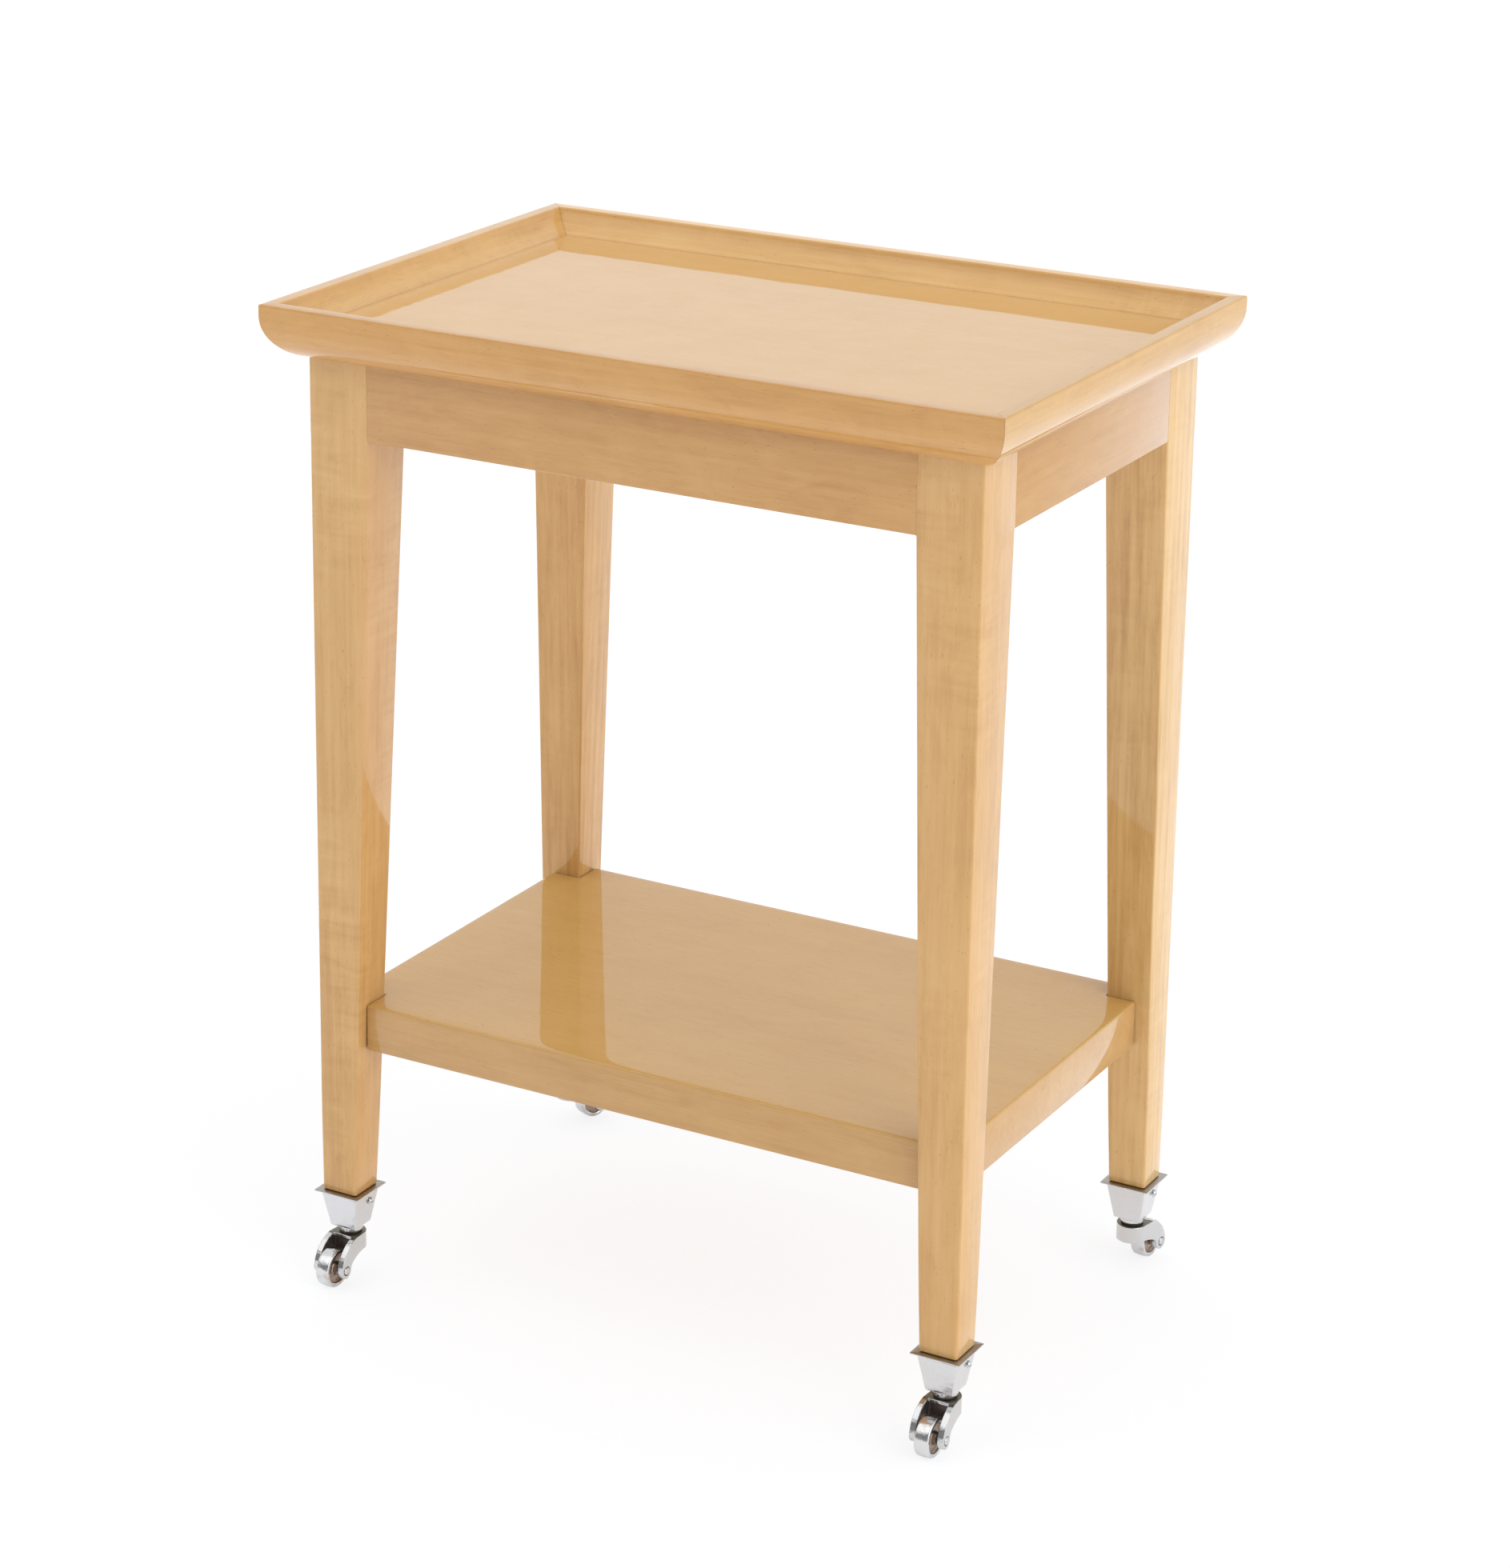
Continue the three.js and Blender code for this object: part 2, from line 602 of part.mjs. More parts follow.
function wheel() {
  const bore = AXLE_RADIUS + FIT_GAP;
  const half = [
    [bore, HUB_HALF],
    [HUB_RADIUS, HUB_HALF],
    [HUB_RADIUS + 0.4, WEB_HALF],
    [TREAD_IN - 0.8, WEB_HALF],
    [TREAD_IN, WHEEL_HALF],
    [WHEEL_RADIUS - 0.8, WHEEL_HALF],
    [WHEEL_RADIUS, WHEEL_HALF - 0.8],
  ];
  return turned([...bothSides(half), [bore, -HUB_HALF]], 32).rotateX(Math.PI / 2);
}

function axle() {
  const seat = FORK_HALF - HEAD_SINK + FIT_GAP;
  const top = seat + AXLE_HEAD_LONG;
  const half = [
    [0, top],
    [AXLE_HEAD - 0.8, top - 0.3],
    [AXLE_HEAD, top - 1],
    [AXLE_HEAD, seat],
    [AXLE_RADIUS, seat],
  ];
  return turned(bothSides(half), 14).rotateX(Math.PI / 2);
}

place('tray_panel', trayPanel(), wood());
for (const side of SIDES) {
  place(`rim_${side.name}`, rimSide(side), wood());
  place(`apron_${side.name}`, apron(side), wood());
}
place('shelf', shelf(), wood());

for (const corner of CORNERS) {
  place(`leg_${corner.name}`, leg(corner), wood());
  place(`corner_block_${corner.name}`, cornerBlock(corner), innerWood());
  place(`tray_screw_${corner.name}`, trayScrew(corner), steel());
  place(`shelf_dowel_${corner.name}`, dowel(corner, 0), innerWood());

  const socket = new THREE.Group();
  socket.position.set(corner.sx * PIVOT_X, corner.sy * PIVOT_Y, 0);
  table.add(socket);
  place(`caster_cup_${corner.name}`, casterCup(), chrome(), socket);
  place(`cup_screw_${corner.name}`, cupScrew(), chrome(), socket);
  place(`swivel_pin_${corner.name}`, swivelPin(), steel(), socket);
  place(`swivel_washer_${corner.name}`, swivelWasher(), steel(), socket);

  const swivel = new THREE.Group();
  swivel.rotation.z = THREE.MathUtils.degToRad(corner.trail);
  socket.add(swivel);
  place(`fork_${corner.name}`, fork(), chrome(), swivel);
  for (const [piece, shape, finish] of [['wheel', wheel(), chrome()], ['axle', axle(), steel()]]) {
    place(`${piece}_${corner.name}`, shape, finish, swivel).position.set(TRAIL, 0, WHEEL_RADIUS);
  }
}

export default table;
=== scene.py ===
# A two-tier side table on casters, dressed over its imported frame: lacquered pale wood joined as boards,
# posts and mouldings, with cast and plated casters. Metres, +Z up.
import json
import math

import bmesh
import bpy
from mathutils import Matrix, Vector, noise

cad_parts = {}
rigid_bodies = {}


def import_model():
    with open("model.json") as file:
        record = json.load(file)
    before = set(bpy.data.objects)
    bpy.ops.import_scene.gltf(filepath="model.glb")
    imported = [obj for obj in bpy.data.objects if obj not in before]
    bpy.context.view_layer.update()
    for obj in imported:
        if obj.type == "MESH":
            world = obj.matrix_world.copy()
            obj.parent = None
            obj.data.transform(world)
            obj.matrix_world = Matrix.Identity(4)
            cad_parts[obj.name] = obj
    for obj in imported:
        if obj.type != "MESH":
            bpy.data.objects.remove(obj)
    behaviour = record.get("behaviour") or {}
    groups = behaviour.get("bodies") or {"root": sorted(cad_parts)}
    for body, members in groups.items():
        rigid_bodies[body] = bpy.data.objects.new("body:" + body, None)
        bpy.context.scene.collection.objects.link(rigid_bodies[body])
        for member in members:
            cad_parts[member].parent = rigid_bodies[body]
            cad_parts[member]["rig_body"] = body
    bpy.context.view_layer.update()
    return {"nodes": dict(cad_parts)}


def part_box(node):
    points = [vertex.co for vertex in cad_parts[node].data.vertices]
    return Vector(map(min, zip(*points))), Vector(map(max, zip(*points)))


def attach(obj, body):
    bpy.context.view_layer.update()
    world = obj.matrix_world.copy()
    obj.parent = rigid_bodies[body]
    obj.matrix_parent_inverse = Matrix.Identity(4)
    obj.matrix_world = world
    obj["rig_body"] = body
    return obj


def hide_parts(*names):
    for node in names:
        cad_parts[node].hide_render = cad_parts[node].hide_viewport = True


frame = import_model()

MM = 0.001
CORNERS = {"front_left": (-1, -1), "front_right": (1, -1), "back_left": (-1, 1), "back_right": (1, 1)}

# Joinery
ARRIS = 1.3 * MM                # rounding of an exposed wood edge
TIGHT_ARRIS = 0.15 * MM         # rounding where an apron meets a leg face to face
MITRE_GAP = 0.2 * MM
FIT_GAP = 0.3 * MM
TENON_THICK = 10 * MM
TENON_HEIGHT = 37 * MM
TENON_LONG = 25 * MM
DOWEL_RADIUS = 4 * MM
TRAY_SET_IN = 1 * MM            # the tray floor's edge, inside the legs' outer faces
SHOULDER_GAP = 0.8 * MM         # between the leg's shoulder and the cup's flange

# Rim moulding
RIM_LAND = 10.6 * MM            # flat on top
RIM_ROUND = 33 * MM             # radius of the outer face
RIM_ROUND_DROP = 8.2 * MM       # where that round starts, below the top
QUIRK = 0.8 * MM                # upright at the foot of the inner hollow
COVE_SAG = 2.5 * MM
FOOT_IN = 0.5 * MM              # how far the hollow's foot spreads over the tray floor
TONGUE_THICK = 6 * MM
TONGUE_LONG = 8 * MM

# Casters
CUP_HALF_TOP = 15 * MM
CUP_HALF_LOW = 10.8 * MM
CUP_FOOT = 42 * MM              # height of the square's foot
COLLAR_RADIUS = 9.2 * MM
CUP_WALL = 1.5 * MM
FLANGE_THICK = 1.1 * MM
PIN_RADIUS = 3.5 * MM
AXLE_RADIUS = 1.9 * MM
FORK_HALF = 13.2 * MM           # half the width over the cheeks
CHEEK = 5 * MM
FORK_PLATE = 3 * MM
AXLE_HEAD = 3 * MM              # radius
AXLE_HEAD_LONG = 1.9 * MM
HEAD_RECESS = 3.7 * MM          # radius of the ring round the axle's head in its seat, painted dark as shade
HUB_HALF = 6.9 * MM             # half the hub's length
WHEEL_HALF = 5.5 * MM           # half the tread's width
WHEEL_WEB = 3 * MM              # half the thickness between hub and tread
WHEEL_RECESS = 11.5 * MM        # radius of the wheel's recessed side, painted dark as shade


# ---------------------------------------------------------------- places, all from the frame

def extent(node):
    """A node's low corner, high corner and middle."""
    low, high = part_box(node)
    return low, high, (low + high) / 2


def middle(node):
    return extent(node)[2]


rim_low, rim_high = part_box("rim_front")
leg_low, leg_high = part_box("leg_front_right")
cup_low, cup_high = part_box("caster_cup_front_right")
apron_low, apron_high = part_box("apron_front")
shelf_low, shelf_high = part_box("shelf")

TOP = rim_high.z
RIM_LOW = rim_low.z
TRAY_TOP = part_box("tray_panel")[1].z
APRON_LOW = apron_low.z
APRON_THICK = apron_high.y - apron_low.y
HALF_W = leg_high.x
HALF_D = -leg_low.y
RIM_OUT = -rim_low.y - HALF_D
LEG_TOP = leg_high.x - leg_low.x
CUP_TOP = cup_high.z
COLLAR_LOW = cup_low.z
FLANGE_HALF = (cup_high.x - cup_low.x) / 2
PIVOT_X = (cup_low.x + cup_high.x) / 2
PIVOT_Y = -(cup_low.y + cup_high.y) / 2
LEG_FOOT = 2 * (HALF_W - PIVOT_X)
LEG_TIP = leg_low.z
SOCKET_FLOOR = LEG_TIP - 1 * MM
WHEEL_RADIUS = middle("wheel_front_left").z
FORK_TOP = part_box("fork_front_left")[1].z


def trail_of(corner):
    """From a caster's swivel axis to the middle of its axle, seen from above."""
    pivot = middle(f"caster_cup_{corner}")
    hub = middle(f"axle_{corner}")
    return Vector((hub.x, hub.y)) - Vector((pivot.x, pivot.y))


def axis_place(corner):
    """On the floor under a caster's swivel axis, square to the table."""
    pivot = middle(f"caster_cup_{corner}")
    return Matrix.Translation((pivot.x, pivot.y, 0))


def swivel_place(corner):
    """The caster's own frame: the swivel axis is Z and the wheel trails along +X."""
    trail = trail_of(corner)
    return axis_place(corner) @ Matrix.Rotation(math.atan2(trail.y, trail.x), 4, "Z")


def hub_place(corner):
    """The wheel's own frame: the axle is Z."""
    hub = Vector((trail_of(corner).length, 0, middle(f"axle_{corner}").z))
    return swivel_place(corner) @ Matrix.Translation(hub) @ Matrix.Rotation(math.pi / 2, 4, "X")


def side_run(side):
    """Whether a side runs along X, its sign on the other axis, and half the frame across and along it."""
    along_x = side in ("front", "back")
    sign = -1 if side in ("front", "left") else 1
    return along_x, sign, *((HALF_D, HALF_W) if along_x else (HALF_W, HALF_D))


# ---------------------------------------------------------------- mesh helpers

def skin(rings, loop_rings=False, loop_points=True):
    """A closed surface over rings of equal length. Open ends of a looped ring are capped."""
    mesh = bmesh.new()
    rows = [[mesh.verts.new(point) for point in ring] for ring in rings]
    count = len(rings[0])
    following = rows[1:] + rows[:1] if loop_rings else rows[1:]
    for row, after in zip(rows, following):
        for i in range(count if loop_points else count - 1):
            j = (i + 1) % count
            mesh.faces.new((row[i], row[j], after[j], after[i]))
    if not loop_rings:
        mesh.faces.new(list(reversed(rows[0])))
        mesh.faces.new(rows[-1])
    bmesh.ops.remove_doubles(mesh, verts=mesh.verts, dist=1e-7)
    bmesh.ops.recalc_face_normals(mesh, faces=mesh.faces)
    return mesh


def mesh_data(name, bm):
    data = bpy.data.meshes.new(name)
    bm.to_mesh(data)
    bm.free()
    return data


def placed(name, data):
    """A new object in the scene."""
    made = bpy.data.objects.new(name, data)
    bpy.context.scene.collection.objects.link(made)
    return made


def piece(node, bm, materials, sharp=35):
    """Makes the finished piece that stands for a CAD node. Edges over sharp degrees stay sharp."""
    data = mesh_data(f"{node}_made", bm)
    made = placed(f"{node}_made", data)
    for material in materials:
        data.materials.append(material)
    data.polygons.foreach_set("use_smooth", [True] * len(data.polygons))
    data.set_sharp_from_angle(angle=math.radians(sharp))
    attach(made, frame["nodes"][node]["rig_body"])
    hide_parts(node)
    return made


def cut(bm, cutters):
    """bm less each cutter."""
    objects = [placed("cut", mesh_data("cut", mesh)) for mesh in [bm, *cutters]]
    for tool in objects[1:]:
        modifier = objects[0].modifiers.new("cut", "BOOLEAN")
        modifier.object = tool
        modifier.operation = "DIFFERENCE"
        modifier.solver = "EXACT"
    bpy.context.view_layer.update()
    graph = bpy.context.evaluated_depsgraph_get()
    result = bmesh.new()
    result.from_object(objects[0], graph)
    for made in objects:
        bpy.data.objects.remove(made)
    return result


def rounded_ring(x0, x1, y0, y1, radii):
    """A rectangle with its own radius at each corner, anticlockwise from (x0, y0), as (x, y) pairs."""
    steps = 4
    points = []
    corners = [(x0, y0, 1, 1, 180), (x1, y0, -1, 1, 270), (x1, y1, -1, -1, 0), (x0, y1, 1, -1, 90)]
    for (x, y, in_x, in_y, start), radius in zip(corners, radii):
        for step in range(steps + 1):
            angle = math.radians(start + 90 * step / steps)
            points.append((
                x + in_x * radius + radius * math.cos(angle),
                y + in_y * radius + radius * math.sin(angle),
            ))
    return points


def arc(cx, cz, radius, start, end, steps):
    angles = [start + (end - start) * step / steps for step in range(steps + 1)]
    return [(cx + radius * math.cos(a), cz + radius * math.sin(a)) for a in angles]


def block(x0, x1, y0, y1, z0, z1):
    ring = [(x0, y0), (x1, y0), (x1, y1), (x0, y1)]
    return skin([[(x, y, z0) for x, y in ring], [(x, y, z1) for x, y in ring]])


def lathe(profile, place, segments, closed=False):
    """A turned piece about the Z of place, from [(radius, z)] that ends on the axis or is closed."""
    rings = []
    for step in range(segments):
        angle = 2 * math.pi * step / segments
        turn = Matrix.Rotation(angle, 4, "Z")
        rings.append([place @ turn @ Vector((radius, 0, z)) for radius, z in profile])
    return skin(rings, loop_rings=True, loop_points=closed)


# ---------------------------------------------------------------- materials

class Nodes:
    """Short calls for building a node tree."""

    def __init__(self, tree):
        self.tree = tree

    def fill(self, node, inputs):
        """Links a socket to each input, or sets its value."""
        for key, value in inputs.items():
            if isinstance(value, bpy.types.NodeSocket):
                self.tree.links.new(value, node.inputs[key])
            else:
                node.inputs[key].default_value = value

    def add(self, kind, inputs=None, **settings):
        node = self.tree.nodes.new(kind)
        for name, value in settings.items():
            setattr(node, name, value)
        self.fill(node, inputs or {})
        return node

    def coordinates(self, kind="Object"):
        return self.add("ShaderNodeTexCoord").outputs[kind]

    def math(self, operation, a, b, c=0.0, clamp=False):
        node = self.add("ShaderNodeMath", {0: a, 1: b, 2: c}, operation=operation, use_clamp=clamp)
        return node.outputs[0]

    def noise(self, vector, scale, detail, roughness, distortion=0.0):
        inputs = {"Vector": vector, "Scale": scale, "Detail": detail, "Roughness": roughness,
                  "Distortion": distortion}
        return self.add("ShaderNodeTexNoise", inputs).outputs["Fac"]

    def stretched(self, vector, factors, shift=(0, 0, 0)):
        inputs = {0: vector, 1: factors, 2: shift}
        return self.add("ShaderNodeVectorMath", inputs, operation="MULTIPLY_ADD").outputs[0]

    def ramp(self, factor, stops):
        node = self.add("ShaderNodeValToRGB", {"Fac": factor})
        elements = node.color_ramp.elements
        while len(elements) < len(stops):
            elements.new(0.5)
        for element, (position, colour) in zip(elements, stops):
            element.position = position
            element.color = (*colour, 1)
        return node.outputs["Color"]

    def range(self, value, low, high, to_low=0.0, to_high=1.0):
        inputs = {"Value": value, "From Min": low, "From Max": high, "To Min": to_low, "To Max": to_high}
        return self.add("ShaderNodeMapRange", inputs, interpolation_type="SMOOTHSTEP").outputs[0]

    def mix(self, factor, a, b):
        """Between two colours, on the Mix node's own sockets for colour."""
        first, second = [(*colour, 1) if isinstance(colour, tuple) else colour for colour in (a, b)]
        return self.add("ShaderNodeMix", {0: factor, 6: first, 7: second}, data_type="RGBA").outputs[2]

    def bump(self, strength, distance, height):
        inputs = {"Strength": strength, "Distance": distance, "Height": height}
        return self.add("ShaderNodeBump", inputs).outputs[0]


def new_material(name):
    material = bpy.data.materials.new(name)
    material.use_nodes = True
    nodes = Nodes(material.node_tree)
    shader = material.node_tree.nodes["Principled BSDF"]
    return material, nodes, shader


def shade(colour, factor):
    return tuple(channel * factor for channel in colour)


def tinted(colour, tint):
    return tuple(channel * factor for channel, factor in zip(colour, tint))


HONEY = (0.62, 0.358, 0.119)


def lacquered(name, grain, seed, base, lines, ripple, band=0.75, mottle=0.6, cloud=0.45, gloss=0.035):
    """Pale close-grained wood under gloss lacquer. grain is the axis the fibres run along."""
    material, n, shader = new_material(name)
    fibre_axis = "xyz".index(grain)
    place = n.coordinates()
    shift = (seed * 1.37, seed * 2.11, seed * 0.83)

    def field(along, across, *settings):
        """Noise stretched by its scale along the fibres and its scale across them."""
        factors = tuple(along if axis == fibre_axis else across for axis in range(3))
        return n.noise(n.stretched(place, factors, shift), 1.0, *settings)

    bands = field(1.6, 26, 3.0, 0.55, 0.6)
    stripes = field(4.5, 210, 4.0, 0.6)
    fibres = field(40, 1500, 3.0, 0.65)
    figure = field(120, 16, 2.0, 0.5, 0.5)
    patches = field(7, 20, 1.0, 0.5)
    clouds = n.noise(place, 9.0 + 0.3 * seed, 2.0, 0.5)
    blotches = field(20, 62, 4.0, 0.6, 1.2)
    here = n.range(patches, 0.45, 0.65)

    tone = 0.5
    for part, amount in [(bands, band), (stripes, lines), (fibres, 0.5), (blotches, mottle)]:
        tone = n.math("MULTIPLY_ADD", n.math("SUBTRACT", part, 0.5), amount, tone)
    tone = n.math("MULTIPLY_ADD", n.math("MULTIPLY", n.math("SUBTRACT", figure, 0.5), here), ripple, tone)
    tone = n.math("MULTIPLY_ADD", n.math("SUBTRACT", clouds, 0.5), cloud, tone, clamp=True)
    dark = tinted(base, (0.83, 0.77, 0.68))
    light = tinted(base, (1.1, 1.16, 1.3))
    colour = n.ramp(tone, [(0.12, dark), (0.5, base), (0.88, light)])
    flecks = n.range(field(230, 900, 1.0, 0.4), 0.7, 0.8)
    colour = n.mix(n.math("MULTIPLY", flecks, 0.45), colour, shade(dark, 0.62))

    wear = n.range(n.noise(place, 35.0, 4.0, 0.6), 0.35, 0.75, 0.42, 0.55)
    waves = field(14, 34, 2.0, 0.5)
    film = n.math("MULTIPLY_ADD", n.noise(place, 420.0, 1.0, 0.5), 0.05, waves)
    n.fill(shader, {
        "Base Color": colour,
        "Roughness": wear,
        "Specular IOR Level": 0.08,
        "Normal": n.bump(0.12, 0.0002, fibres),
        "Coat Weight": 1.0,
        "Coat Roughness": gloss,
        "Coat IOR": 1.46,
        "Coat Normal": n.bump(0.5, 0.00025, film),
    })
    return material


def bare_wood(name, seed):
    """The unfinished wood of the hidden blocks and dowels."""
    material, n, shader = new_material(name)
    rings = n.noise(n.stretched(n.coordinates(), (14, 90, 320), (seed, 0, 0)), 1.0, 4.0, 0.6)
    colour = n.ramp(rings, [(0.25, (0.42, 0.25, 0.11)), (0.75, (0.6, 0.4, 0.2))])
    n.fill(shader, {"Base Color": colour, "Roughness": 0.62, "Normal": n.bump(0.3, 0.0002, rings)})
    return material


def plated(name, seed, base, rough, stained, stain=(0.5, 0.43, 0.36), dent=0.5):
    """Plating over a casting: small dents, a little haze, and stains where it has worn."""
    material, n, shader = new_material(name)
    moved = n.stretched(n.coordinates(), (1, 1, 1), (seed * 0.71, seed * 0.37, seed * 0.53))
    wear = n.range(n.noise(moved, 90.0, 4.0, 0.6), 0.5, 0.75)
    haze = n.range(n.noise(moved, 260.0, 3.0, 0.6), 0.3, 0.8, rough, rough + 0.14)
    dents = n.noise(moved, 230.0, 2.0, 0.45)
    pits = n.range(n.noise(moved, 900.0, 1.0, 0.5), 0.66, 0.8)
    n.fill(shader, {
        "Base Color": n.mix(n.math("MULTIPLY", wear, stained), base, stain),
        "Roughness": haze,
        "Metallic": 1.0,
        "Normal": n.bump(dent, 0.0005, n.math("MULTIPLY_ADD", pits, -0.15, dents)),
    })
    return material


def painted_dark_metal(name, base, rough):
    """Dark metal painted as shade, for a fork's inside, a wheel's side and the pins and washers in the gap
    under the cup; on the fork's plate it is a painted reflection of the wood above.
    """
    material, n, shader = new_material(name)
    speckle = n.noise(n.coordinates(), 420.0, 4.0, 0.65)
    n.fill(shader, {
        "Base Color": n.ramp(speckle, [(0.3, shade(base, 0.6)), (0.7, shade(base, 1.3))]),
        "Roughness": n.range(speckle, 0.3, 0.8, rough, rough + 0.2),
        "Metallic": 0.85,
        "Normal": n.bump(0.4, 0.0003, speckle),
    })
    return material


# ---------------------------------------------------------------- wood

def rim_section():
    """The rim's section as (distance out from the legs' outer face, z)."""
    outer_x = RIM_OUT - RIM_ROUND
    outer_z = TOP - RIM_ROUND_DROP
    low_angle = -math.asin((outer_z - RIM_LOW) / RIM_ROUND)
    land_in = RIM_OUT - RIM_LAND
    quirk_z = TRAY_TOP + QUIRK
    run = land_in + TRAY_SET_IN
    drop = TOP - quirk_z
    chord = math.hypot(run, drop)
    cove_radius = (chord * chord / 4 + COVE_SAG * COVE_SAG) / (2 * COVE_SAG)
    back = cove_radius - COVE_SAG
    cove_x = (land_in - TRAY_SET_IN) / 2 - back * drop / chord
    cove_z = (TOP + quirk_z) / 2 + back * run / chord
    cove_from = math.atan2(TOP - cove_z, land_in - cove_x)
    cove_to = math.atan2(quirk_z - cove_z, -TRAY_SET_IN - cove_x)
    groove_in = -TRAY_SET_IN + TONGUE_LONG + FIT_GAP
    groove_z = (RIM_LOW + TRAY_TOP) / 2
    groove_half = TONGUE_THICK / 2 + FIT_GAP
    soft = 1.2 * MM
    crisp = 0.5 * MM
    heel = 0.9 * MM             # chamfer where the round meets the underside
    heel_angle = 0.03
    cove = arc(cove_x, cove_z, cove_radius, cove_from, cove_to, 20)
    return [
        *arc(outer_x, outer_z, RIM_ROUND, low_angle + heel_angle, 0, 36),
        *arc(RIM_OUT - soft, TOP - soft, soft, 0, math.pi / 2, 6),
        *arc(land_in + crisp, TOP - crisp, crisp, math.pi / 2, math.pi * 0.8, 4),
        *cove[1:],
        (-TRAY_SET_IN - FOOT_IN, TRAY_TOP + 0.03 * MM),
        (-TRAY_SET_IN, TRAY_TOP),
        (-TRAY_SET_IN, groove_z + groove_half),
        (groove_in, groove_z + groove_half),
        (groove_in, groove_z - groove_half),
        (-TRAY_SET_IN, groove_z - groove_half),
        (-TRAY_SET_IN, RIM_LOW),
        (outer_x + RIM_ROUND * math.cos(low_angle) - heel, RIM_LOW),
    ]


def rim(side, material):
    """A moulding, mitred at both ends."""
    section = rim_section()
    along_x, sign, across_half, along_half = side_run(side)
    rings = []
    spans = 24
    for step in range(spans + 1):
        share = 2 * step / spans - 1
        ring = []
        for out, z in section:
            along = share * (along_half + out - MITRE_GAP / 2)
            across = sign * (across_half + out)
            ring.append((along, across, z) if along_x else (across, along, z))
        rings.append(ring)
    return piece(f"rim_{side}", skin(rings), [material], 40)


def apron(side, material):
    """A board with a tenon at each end."""
    along_x, sign, outer, along_half = side_run(side)
    reach = along_half - LEG_TOP
    chamfer = 0.25 * MM
    middle_across = outer - APRON_THICK / 2
    middle_z = (APRON_LOW + RIM_LOW) / 2

    def ring(along, inset, thick, height, radius):
        flat = rounded_ring(
            middle_across - thick / 2 + inset, middle_across + thick / 2 - inset,
            middle_z - height / 2 + inset, middle_z + height / 2 - inset,
            (radius, radius, TIGHT_ARRIS, TIGHT_ARRIS),
        )
        points = [(sign * across, z) for across, z in flat]
        return [(along, across, z) if along_x else (across, along, z) for across, z in points]

    height = RIM_LOW - APRON_LOW
    half = [
        ring(reach - 2 * chamfer, 0, APRON_THICK, height, ARRIS * 0.7),
        ring(reach - chamfer, chamfer * 0.3, APRON_THICK, height, ARRIS * 0.7),
        ring(reach, chamfer, APRON_THICK, height, ARRIS * 0.7),
        ring(reach, 0, TENON_THICK, TENON_HEIGHT, 2 * TIGHT_ARRIS),
        ring(reach + TENON_LONG, 0, TENON_THICK, TENON_HEIGHT, 2 * TIGHT_ARRIS),
    ]
    other = [[(-x, y, z) if along_x else (x, -y, z) for x, y, z in points] for points in reversed(half)]
    return piece(f"apron_{side}", skin(other + half), [material])


def leg_section(z):
    """The leg's width at a height."""
    down = max(0.0, (APRON_LOW - z) / (APRON_LOW - CUP_TOP))
    return LEG_TOP - (LEG_TOP - LEG_FOOT) * down


def socket_half(z):
    """Half the width of the cup's socket at a height."""
    low = CUP_HALF_LOW - CUP_WALL
    high = CUP_HALF_TOP - CUP_WALL
    return low + (high - low) * (z - SOCKET_FLOOR) / (CUP_TOP - SOCKET_FLOOR)


def leg(corner, material):
    """A post tapered on its two inner faces, with a tip in the cup and mortises for the aprons."""
    sx, sy = CORNERS[corner]
    shoulder = CUP_TOP + SHOULDER_GAP

    def ring(section, z, radius, side_radius):
        """In the quarter where both outer faces are at high x and y, then mirrored to the corner."""
        flat = rounded_ring(
            HALF_W - section, HALF_W, HALF_D - section, HALF_D,
            (side_radius, side_radius, radius, side_radius),
        )
        return [(sx * x, sy * y, z) for x, y in flat]

    def tip(half, z):
        flat = rounded_ring(PIVOT_X - half, PIVOT_X + half, PIVOT_Y - half, PIVOT_Y + half, [2 * MM] * 4)
        return [(sx * x, sy * y, z) for x, y in flat]

    rings = [
        tip(socket_half(LEG_TIP) - FIT_GAP, LEG_TIP),
        tip(socket_half(CUP_TOP) - FIT_GAP, CUP_TOP),
        tip(LEG_FOOT / 2 - 0.7 * MM, shoulder),
        tip(LEG_FOOT / 2 - 0.2 * MM, shoulder + 0.25 * MM),
    ]
    spans = 24
    start = shoulder + 0.8 * MM
    end = APRON_LOW - 1 * MM
    for step in range(spans + 1):
        z = start + (end - start) * step / spans
        foot = ARRIS * max(0.0, 1 - (z - start) / (60 * MM))
        rings.append(ring(leg_section(z), z, ARRIS * 1.2 + foot, ARRIS + foot))
    rings.append(ring(LEG_TOP, APRON_LOW + 0.4 * MM, ARRIS, TIGHT_ARRIS))
    rings.append(ring(LEG_TOP, RIM_LOW, ARRIS, TIGHT_ARRIS))

    middle_z = (APRON_LOW + RIM_LOW) / 2
    low_z = middle_z - TENON_HEIGHT / 2 - FIT_GAP
    high_z = middle_z + TENON_HEIGHT / 2 + FIT_GAP
    thick_out = (APRON_THICK - TENON_THICK) / 2 - FIT_GAP
    thick_in = thick_out + TENON_THICK + 2 * FIT_GAP
    over = 5 * MM

    def mortise(face_half, across_half):
        from_ = face_half - LEG_TOP - over
        to = face_half - LEG_TOP + TENON_LONG + FIT_GAP
        return from_, to, across_half - thick_in, across_half - thick_out

    a0, a1, b0, b1 = mortise(HALF_W, HALF_D)
    c0, c1, d0, d1 = mortise(HALF_D, HALF_W)
    cutters = [
        block(*sorted((sx * a0, sx * a1)), *sorted((sy * b0, sy * b1)), low_z, high_z),
        block(*sorted((sx * d0, sx * d1)), *sorted((sy * c0, sy * c1)), low_z, high_z),
        dowel_bore(corner),
    ]
    return piece(f"leg_{corner}", cut(skin(rings), cutters), [material])


